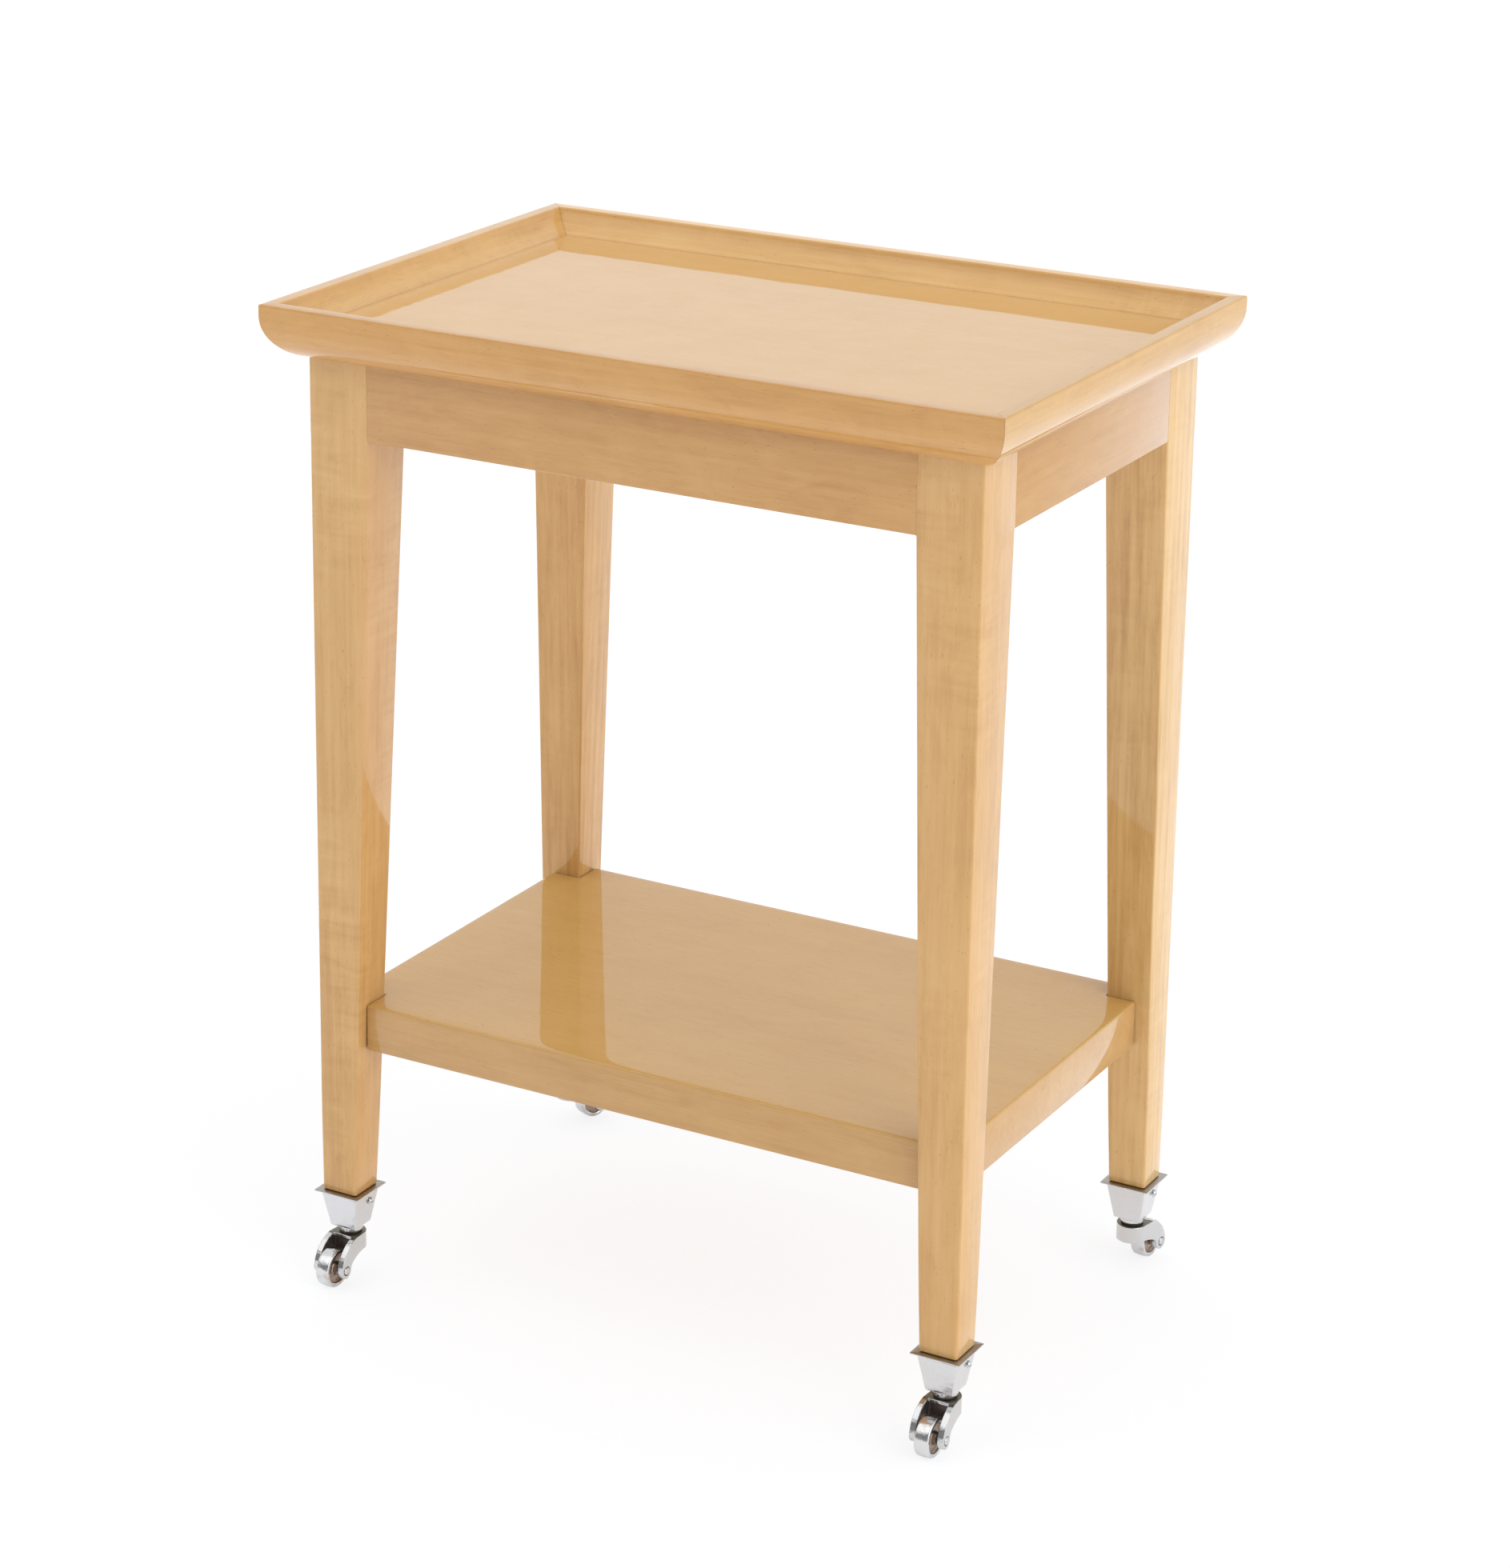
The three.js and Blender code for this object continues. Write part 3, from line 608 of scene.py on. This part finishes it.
def dowel_bore(corner):
    """The hole for a shelf dowel, with its clearance."""
    low, high, centre = extent(f"shelf_dowel_{corner}")
    half = (high.x - low.x) / 2 + FIT_GAP
    radius = DOWEL_RADIUS + FIT_GAP
    place = Matrix.Translation(centre) @ Matrix.Rotation(math.pi / 2, 4, "Y")
    return lathe([(0, -half), (radius, -half), (radius, half), (0, half)], place, 32)


def shelf(materials):
    """A thick board notched round the legs. The lacquer rounds its top over towards the edges."""
    half_w = shelf_high.x
    half_d = shelf_high.y
    section = leg_section(shelf_high.z) + FIT_GAP
    notch_x = HALF_W - section
    notch_y = HALF_D - section

    def ring(inset, z):
        x, y, nx, ny = half_w - inset, half_d - inset, notch_x - inset, notch_y - inset
        radius = 1.2 * MM
        half = [(nx, -ny)]
        half += arc(x - radius, -ny + radius, radius, -math.pi / 2, 0, 4)
        half += arc(x - radius, ny - radius, radius, 0, math.pi / 2, 4)
        half += [(nx, ny)]
        half += arc(nx - radius, y - radius, radius, 0, math.pi / 2, 4)
        half += arc(-nx + radius, y - radius, radius, math.pi / 2, math.pi, 4)
        return [(px, py, z) for px, py in half + [(-px, -py) for px, py in half]]

    low, top = shelf_low.z, shelf_high.z
    # How far the top has fallen, in mm, at each distance in from the edge
    falls = [(0, 1.9), (0.15, 1.3), (0.5, 0.8), (1.0, 0.5), (1.8, 0.32), (3, 0.2), (4.5, 0.12), (7, 0.05),
             (10, 0.015), (14, 0)]
    rings = [ring(1.2 * MM, low), ring(0.35 * MM, low + 0.35 * MM), ring(0, low + 1.2 * MM)]
    rings += [ring(inset * MM, top - fall * MM) for inset, fall in falls]
    bores = [dowel_bore(corner) for corner in CORNERS]
    board = cut(skin(rings), bores)
    board.normal_update()
    for face in board.faces:
        face.material_index = 0 if face.normal.z > 0.5 else 1
    return piece("shelf", board, materials, 40)


def build_wood():
    tray = lacquered("tray_lacquer", "x", 1, HONEY, lines=0.12, ripple=0.08, band=0.22, mottle=0.1,
                     cloud=0.25, gloss=0.02)
    frame["nodes"]["tray_panel"].material_slots[0].material = tray
    # For each side the tints of its rim and its apron. They are lit and shaded copies of one wood: the
    # front and right rims are darkened as painted shade, the back rim is lightened as painted light on its
    # hollow, and the right apron is darkened as painted shade under the rim; the aprons' browner tone is
    # their own.
    sides = {
        "front": ((0.92, 0.84, 0.77), (0.87, 0.81, 0.81)),
        "right": ((0.9, 0.87, 0.7), (0.78, 0.7, 0.58)),
        "back": ((1.13, 1.15, 1.2), (0.9, 0.88, 0.9)),
        "left": ((0.99, 0.99, 0.99), (0.9, 0.88, 0.9)),
    }
    for number, (side, (rim_tint, apron_tint)) in enumerate(sides.items()):
        grain = "x" if side in ("front", "back") else "y"
        rim_base = tinted(HONEY, rim_tint)
        apron_base = tinted(HONEY, apron_tint)
        rim(side, lacquered(f"rim_lacquer_{side}", grain, 3 + number, rim_base, lines=0.55, ripple=0.4,
                            gloss=0.04))
        apron(side, lacquered(f"apron_lacquer_{side}", grain, 9 + number, apron_base, lines=0.55,
                              ripple=0.25, mottle=0.8))
    top_base = tinted(HONEY, (0.91, 0.94, 0.87))
    edge_base = tinted(HONEY, (0.84, 0.83, 0.9))
    top_finish = lacquered("shelf_lacquer", "x", 15, top_base, lines=0.15, ripple=0.1, band=0.25,
                           mottle=0.2, cloud=0.25, gloss=0.02)
    shelf([top_finish, lacquered("shelf_edge_lacquer", "x", 16, edge_base, lines=0.5, ripple=0.2)])
    # For each leg its tint, and how strong its grain lines and its cross figure are
    figure = {
        "front_left": ((0.95, 0.95, 1.04), 0.7, 0.8),
        "front_right": ((0.97, 0.97, 1.04), 0.6, 0.6),
        "back_left": ((1.01, 1.01, 1.04), 1.4, 0.3),
        "back_right": ((1.02, 1.1, 1.28), 1.5, 0.35),
    }
    for number, corner in enumerate(CORNERS):
        tint, lines, ripple = figure[corner]
        base = tinted(HONEY, tint)
        finish = lacquered(f"leg_lacquer_{corner}", "z", 20 + number, base, lines=lines, ripple=ripple)
        leg(corner, finish)
        inner = bare_wood(f"inner_wood_{corner}", number)
        for name in ("corner_block", "shelf_dowel"):
            frame["nodes"][f"{name}_{corner}"].material_slots[0].material = inner


# ---------------------------------------------------------------- casters

def dented(bm, amount, seed):
    """Moves the surface in and out by up to amount, as a casting's is uneven."""
    size = 7 * MM
    bm.normal_update()
    moves = []
    for vertex in bm.verts:
        height = noise.noise(vertex.co / size + Vector((seed * 3.1, seed * 1.7, seed * 2.3)))
        moves.append(vertex.normal * (height * amount))
    for vertex, move in zip(bm.verts, moves):
        vertex.co += move
    return bm


def soft_min(a, b, blend):
    """The lesser of two, rounded over where they are within blend of each other."""
    share = max(0.0, min(1.0, 0.5 + 0.5 * (b - a) / blend))
    return b * (1 - share) + a * share - blend * share * (1 - share)


def cup_ring(place, half, limit, z, radius=0.9 * MM):
    """A square with rounded corners, cut by a circle of radius limit."""
    points = []
    side_steps = 20
    corner_steps = 5
    flat = half - radius
    for turn in range(4):
        rotate = Matrix.Rotation(turn * math.pi / 2, 2)
        side = [Vector((half, flat * (2 * step / side_steps - 1))) for step in range(side_steps)]
        bend = [Vector((flat, flat)) + radius * Vector((math.cos(a), math.sin(a)))
                for a in [math.pi / 2 * step / corner_steps for step in range(corner_steps)]]
        points += [rotate @ point for point in side + bend]
    ring = []
    for point in points:
        reach = soft_min(point.length, limit, 0.35 * MM)
        point = point.normalized() * reach
        ring.append(place @ Vector((point.x, point.y, z)))
    return ring


def cup(corner, number, materials):
    """The socket under a leg: a tapered square cup on a round collar, with a flared flange."""
    place = axis_place(corner)
    far = 60 * MM               # a limit that leaves the square or the circle uncut
    bore = PIN_RADIUS + FIT_GAP
    flare_low = CUP_TOP - 5 * MM

    def half_at(z):
        return CUP_HALF_LOW + (CUP_HALF_TOP - CUP_HALF_LOW) * (z - CUP_FOOT) / (flare_low - CUP_FOOT)

    def circle(radius, z):
        return cup_ring(place, far, radius, z)

    edge = 0.5 * MM
    rings = [circle(bore, COLLAR_LOW), circle(COLLAR_RADIUS - edge, COLLAR_LOW)]
    for step in range(1, 4):
        angle = math.pi / 2 * step / 3
        reach = COLLAR_RADIUS - edge + edge * math.sin(angle)
        rings.append(circle(reach, COLLAR_LOW + edge - edge * math.cos(angle)))
    rings.append(circle(COLLAR_RADIUS, CUP_FOOT - 0.2 * MM))
    rings.append(circle(COLLAR_RADIUS + 0.2 * MM, CUP_FOOT))
    bend = 0.6 * MM
    for step in range(5):
        angle = math.pi / 2 * step / 4
        half = CUP_HALF_LOW - bend + bend * math.sin(angle)
        rings.append(cup_ring(place, half, far, CUP_FOOT + bend - bend * math.cos(angle)))
    for step in range(1, 31):
        z = CUP_FOOT + bend + (flare_low - CUP_FOOT - bend) * step / 30
        rings.append(cup_ring(place, half_at(z), far, z))
    flare = CUP_TOP - FLANGE_THICK - flare_low
    for step in range(1, 9):
        angle = math.pi / 2 * step / 8
        out = (FLANGE_HALF - 0.4 * MM - CUP_HALF_TOP) * (1 - math.cos(angle))
        z = flare_low + flare * math.sin(angle)
        rings.append(cup_ring(place, CUP_HALF_TOP + out, far, z, 0.7 * MM))
    lip = 0.3 * MM
    rings.append(cup_ring(place, FLANGE_HALF, far, CUP_TOP - FLANGE_THICK + lip, 0.4 * MM))
    rings.append(cup_ring(place, FLANGE_HALF, far, CUP_TOP - lip, 0.4 * MM))
    rings.append(cup_ring(place, FLANGE_HALF - 0.1 * MM, far, CUP_TOP - 0.1 * MM, 0.4 * MM))
    rings.append(cup_ring(place, FLANGE_HALF - lip, far, CUP_TOP, 0.4 * MM))
    inner = CUP_HALF_TOP - CUP_WALL
    rings.append(cup_ring(place, inner + 0.3 * MM, far, CUP_TOP))
    rings.append(cup_ring(place, inner, far, CUP_TOP - 0.4 * MM))
    for step in range(1, 5):
        z = CUP_TOP + (SOCKET_FLOOR - CUP_TOP) * step / 4
        rings.append(cup_ring(place, socket_half(z), far, z))
    rings.append(circle(bore, SOCKET_FLOOR))
    bm = dented(skin(rings, loop_rings=True), 0.07 * MM, number)
    bm.normal_update()
    # The flange's top gets a darker plating, painted shade under the leg's shoulder.
    for face in bm.faces:
        on_top = face.normal.z > 0.7 and face.calc_center_median().z > CUP_TOP - 0.3 * MM
        face.material_index = 1 if on_top else 0
    return piece(f"caster_cup_{corner}", bm, materials, 32)


def fork(corner, number, materials):
    """The cast fork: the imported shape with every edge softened, as a casting's are."""
    node = f"fork_{corner}"
    work = placed("casting", frame["nodes"][node].data.copy())
    remesh = work.modifiers.new("remesh", "REMESH")
    remesh.mode = "VOXEL"
    remesh.voxel_size = 0.35 * MM
    soften = work.modifiers.new("soften", "SMOOTH")
    soften.factor = 0.5
    soften.iterations = 3
    bpy.context.view_layer.update()
    bm = bmesh.new()
    bm.from_object(work, bpy.context.evaluated_depsgraph_get())
    bpy.data.objects.remove(work)
    back = swivel_place(corner).inverted()
    inner_half = FORK_HALF - CHEEK + 0.5 * MM
    trail = (back @ middle(f"axle_{corner}")).x
    for face in bm.faces:
        face.smooth = True
        face.material_index = 0
        at = back @ face.calc_center_median()
        off_axis = math.hypot(at.x, at.y) if at.x < 0 else abs(at.y)
        by_hub = math.hypot(at.x - trail, at.z - WHEEL_RADIUS) < HEAD_RECESS
        # Faces between the cheeks, under the plate and round the axle's head get the dark inside finish as
        # painted shade.
        if by_hub or off_axis < inner_half and at.z < FORK_TOP - FORK_PLATE + 0.6 * MM:
            face.material_index = 1
        # The plate's top gets a dark olive finish as a painted reflection of the wood above it.
        elif face.normal.z > 0.7 and at.z > FORK_TOP - 0.6 * MM:
            face.material_index = 2
    return piece(node, dented(bm, 0.06 * MM, number + 5), materials, 60)


def wheel(corner, materials):
    """A cast wheel, recessed between hub and tread, with a slightly crowned tread."""
    bore = AXLE_RADIUS + FIT_GAP
    edge = 1.3 * MM
    crown = 0.12 * MM
    # One side as (radius, height off the wheel's middle), out from the bore to the tread
    side = [
        (bore, HUB_HALF - 0.3 * MM),
        (bore + 0.3 * MM, HUB_HALF),
        (4.3 * MM, HUB_HALF),
        (4.7 * MM, HUB_HALF - 0.4 * MM),
        (4.9 * MM, WHEEL_WEB + 0.6 * MM),
        (5.5 * MM, WHEEL_WEB),
        (10.2 * MM, WHEEL_WEB),
        (10.9 * MM, WHEEL_WEB + 0.6 * MM),
        (11.3 * MM, WHEEL_HALF - 0.4 * MM),
        (11.8 * MM, WHEEL_HALF),
        *arc(WHEEL_RADIUS - crown - edge, WHEEL_HALF - edge, edge, math.pi / 2, math.radians(8), 7),
    ]
    tread = [(WHEEL_RADIUS - crown * (step / 4) ** 2, (WHEEL_HALF - edge) * step / 4) for step in (3, 2, 1)]
    upper = side + tread
    profile = upper + [(WHEEL_RADIUS, 0)] + [(r, -z) for r, z in reversed(upper)]
    place = hub_place(corner)
    bm = lathe(profile, place, 96, closed=True)
    back = place.inverted()
    # Inside the recess the wheel's side is painted dark as shade.
    for face in bm.faces:
        at = back @ face.calc_center_median()
        face.material_index = 1 if math.hypot(at.x, at.y) < WHEEL_RECESS else 0
    return piece(f"wheel_{corner}", bm, materials, 35)


def dome(radius, height):
    """From the rim of a domed head up to its middle, as (radius, height)."""
    steps = 6
    angles = [math.pi / 2 * step / steps for step in range(steps + 1)]
    return [(radius * math.cos(angle), height * math.sin(angle)) for angle in angles]


def axle(corner, material):
    """A pin with a domed head at each end."""
    seat = FORK_HALF - 1 * MM
    head_top = seat + AXLE_HEAD_LONG
    rim_z = seat + 0.7 * MM
    bevel = 0.15 * MM
    upper = [(AXLE_RADIUS, seat), (AXLE_HEAD - bevel, seat), (AXLE_HEAD, seat + bevel)]
    upper += [(r, rim_z + z) for r, z in dome(AXLE_HEAD, head_top - rim_z)]
    profile = [(r, -z) for r, z in reversed(upper)] + upper
    return piece(f"axle_{corner}", lathe(profile, hub_place(corner), 48), [material], 40)


def cup_screw(corner, material):
    """A round-head wood screw through the cup's side."""
    low, high, centre = extent(f"cup_screw_{corner}")
    head = (high.z - low.z) / 2
    head_height = 1.9 * MM
    head_edge = 0.35 * MM
    seat = high.x - low.x - head_height
    shank = 1.5 * MM
    place = Matrix.Translation((low.x, centre.y, centre.z)) @ Matrix.Rotation(math.pi / 2, 4, "Y")
    profile = [(0, 0), (shank, 2 * MM), (shank, seat), (head, seat), (head, seat + head_edge)]
    profile += [(r, seat + head_edge + z) for r, z in dome(head, head_height - head_edge)][1:]
    slot_half = 0.35 * MM
    slot = block(high.x - 0.9 * MM, high.x + 1 * MM, centre.y - 4 * MM, centre.y + 4 * MM,
                 centre.z - slot_half, centre.z + slot_half)
    bm = cut(lathe(profile, place, 40), [slot])
    return piece(f"cup_screw_{corner}", bm, [material], 40)


def tray_screw(corner, material):
    """A countersunk screw up through the corner block."""
    low, high, centre = extent(f"tray_screw_{corner}")
    head = (high.x - low.x) / 2
    shank = head / 2
    top = high.z - low.z
    place = Matrix.Translation((centre.x, centre.y, low.z))
    profile = [(0, 0), (head - 0.2 * MM, 0), (head, 0.2 * MM), (head, 0.6 * MM), (shank, 3.4 * MM),
               (shank, top - 3 * MM), (0, top)]
    slot = block(centre.x - 5 * MM, centre.x + 5 * MM, centre.y - 0.5 * MM, centre.y + 0.5 * MM,
                 low.z - 1 * MM, low.z + 1.2 * MM)
    bm = cut(lathe(profile, place, 40), [slot])
    return piece(f"tray_screw_{corner}", bm, [material], 30)


def swivel_pin(corner, material):
    """A pin from the socket's floor down through the fork, with a domed rivet under the fork's plate."""
    low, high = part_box(f"swivel_pin_{corner}")
    plate = FORK_TOP - FORK_PLATE - FIT_GAP
    head = (high.x - low.x) / 2
    rivet_top = plate - 0.5 * MM
    bevel = 0.4 * MM
    profile = [(r, rivet_top - z) for r, z in reversed(dome(head, rivet_top - low.z))]
    profile += [(head, plate), (PIN_RADIUS, plate), (PIN_RADIUS, high.z - bevel),
                (PIN_RADIUS - bevel, high.z), (0, high.z)]
    made = lathe(profile, axis_place(corner), 48)
    return piece(f"swivel_pin_{corner}", made, [material], 40)


def swivel_washer(corner, material):
    low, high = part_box(f"swivel_washer_{corner}")
    outer = (high.x - low.x) / 2
    inner = PIN_RADIUS + FIT_GAP
    edge = 0.2 * MM
    profile = [(inner, low.z), (outer - edge, low.z), (outer, low.z + edge), (outer, high.z - edge),
               (outer - edge, high.z), (inner, high.z)]
    made = lathe(profile, axis_place(corner), 64, closed=True)
    return piece(f"swivel_washer_{corner}", made, [material], 50)


def build_casters():
    screws = plated("screw_steel", 3, base=(0.6, 0.58, 0.55), stained=0.5, rough=0.22, dent=0.2)
    # Near-black pins and washers: painted shade in the gap between the cup and the fork.
    dark = painted_dark_metal("painted_shade_steel", (0.1, 0.09, 0.08), 0.4)
    # The fork's inside: painted shade.
    inside = painted_dark_metal("fork_inside", (0.16, 0.13, 0.11), 0.35)
    # The flange's top: darker plating as painted shade under the leg.
    ledge = plated("flange_top", 17, base=(0.4, 0.375, 0.345), stained=0.25, rough=0.3, dent=0.3)
    # The fork plate's top: a painted reflection of the leg and shelf above.
    plate = painted_dark_metal("fork_plate", (0.2, 0.185, 0.14), 0.3)
    # The wheel's recessed side: painted shade.
    web = painted_dark_metal("wheel_side", (0.36, 0.28, 0.23), 0.28)
    for number, corner in enumerate(CORNERS):
        cup_finish = plated(f"cup_chrome_{corner}", number, base=(0.6, 0.605, 0.615), rough=0.16,
                            stained=0.12, dent=0.3)
        fork_finish = plated(f"fork_chrome_{corner}", number + 4, base=(0.55, 0.555, 0.56), rough=0.12,
                             stained=0.2)
        tread = plated(f"wheel_chrome_{corner}", number + 8, base=(0.62, 0.62, 0.62),
                       stain=(0.45, 0.38, 0.32), stained=0.8, rough=0.14)
        cup(corner, number, [cup_finish, ledge])
        fork(corner, number, [fork_finish, inside, plate])
        wheel(corner, [tread, web])
        axle(corner, fork_finish)
        cup_screw(corner, cup_finish)
        tray_screw(corner, screws)
        swivel_pin(corner, dark)
        swivel_washer(corner, dark)


# ---------------------------------------------------------------- studio

def look_from(position, yaw, pitch, roll, lens, shift):
    """A camera that turns yaw from +Y towards -X, then pitches, then rolls. shift moves its frame."""
    data = bpy.data.cameras.new("camera")
    data.lens = lens
    data.sensor_width = 36
    data.shift_x, data.shift_y = shift
    data.clip_end = 200
    camera = placed("camera", data)
    forward = Vector((-math.sin(yaw) * math.cos(pitch), math.cos(yaw) * math.cos(pitch), math.sin(pitch)))
    right = Vector((math.cos(yaw), math.sin(yaw), 0))
    up = right.cross(forward)
    level = right * math.cos(roll) + up * math.sin(roll)
    lifted = up * math.cos(roll) - right * math.sin(roll)
    turned = Matrix((level, lifted, -forward)).transposed()
    camera.matrix_world = Matrix.Translation(position) @ turned.to_4x4()
    bpy.context.scene.camera = camera


def studio_floor():
    """A wide pale floor. It isn't part of the object."""
    material, n, shader = new_material("studio_floor")
    seen = n.add("ShaderNodeLightPath").outputs["Is Camera Ray"]
    n.fill(shader, {
        "Base Color": n.mix(seen, (0.86, 0.88, 0.92), (0.2, 0.205, 0.22)),
        "Roughness": 0.9,
        "Specular IOR Level": 0.0,
        "Emission Color": (1, 1, 1, 1),
        "Emission Strength": n.math("MULTIPLY_ADD", seen, 0.5, 0.3),
    })
    mesh = bmesh.new()
    bmesh.ops.create_circle(mesh, cap_ends=True, radius=60, segments=96)
    data = mesh_data("floor", mesh)
    data.materials.append(material)
    floor = placed("floor", data)


def studio_light():
    """A bright surround that falls off towards the dark side of the room, and one broad soft key."""
    world = bpy.data.worlds.new("studio")
    bpy.context.scene.world = world
    world.use_nodes = True
    tree = world.node_tree
    tree.nodes.clear()
    n = Nodes(tree)
    direction = n.coordinates("Generated")
    dark_side = Vector((-0.1, -1.0, 0.1)).normalized()
    facing = n.add("ShaderNodeVectorMath", {0: direction, 1: tuple(dark_side)}, operation="DOT_PRODUCT")
    shadow = n.range(facing.outputs["Value"], 0.4, 0.9)
    height = n.add("ShaderNodeSeparateXYZ", {0: direction}).outputs["Z"]
    overhead = n.mix(n.range(height, 0.3, 0.9), (1.0, 1.0, 1.0), (1.1, 1.1, 1.1))
    glow = n.mix(shadow, overhead, (0.28, 0.28, 0.28))
    box = Vector((-0.38, -0.47, 0.8)).normalized()
    near = n.add("ShaderNodeVectorMath", {0: direction, 1: tuple(box)}, operation="DOT_PRODUCT")
    glow = n.mix(n.range(near.outputs["Value"], 0.88, 0.96), glow, (1.6, 1.6, 1.6))
    surround = n.add("ShaderNodeBackground", {"Color": glow, "Strength": 1.0})
    backdrop = n.add("ShaderNodeBackground", {"Color": (1, 1, 1, 1), "Strength": 1.0})
    seen = n.add("ShaderNodeLightPath").outputs["Is Camera Ray"]
    both = n.add("ShaderNodeMixShader", {0: seen, 1: surround.outputs[0], 2: backdrop.outputs[0]})
    n.add("ShaderNodeOutputWorld", {"Surface": both.outputs[0]})

    data = bpy.data.lights.new("key", "SUN")
    data.energy = 0.85
    data.angle = math.radians(50)
    key = placed("key", data)
    towards = Vector((0.85, -0.2, 0.5))
    key.rotation_mode = "QUATERNION"
    key.rotation_quaternion = towards.to_track_quat("Z", "Y")


look_from(
    position=(1.3876, -2.5293, 1.4480), yaw=0.5212, pitch=-0.2952, roll=0.0097,
    lens=96.488, shift=(0.0508, -0.1516),
)
studio_floor()
studio_light()
bpy.context.scene.view_settings.view_transform = "Standard"
build_wood()
build_casters()
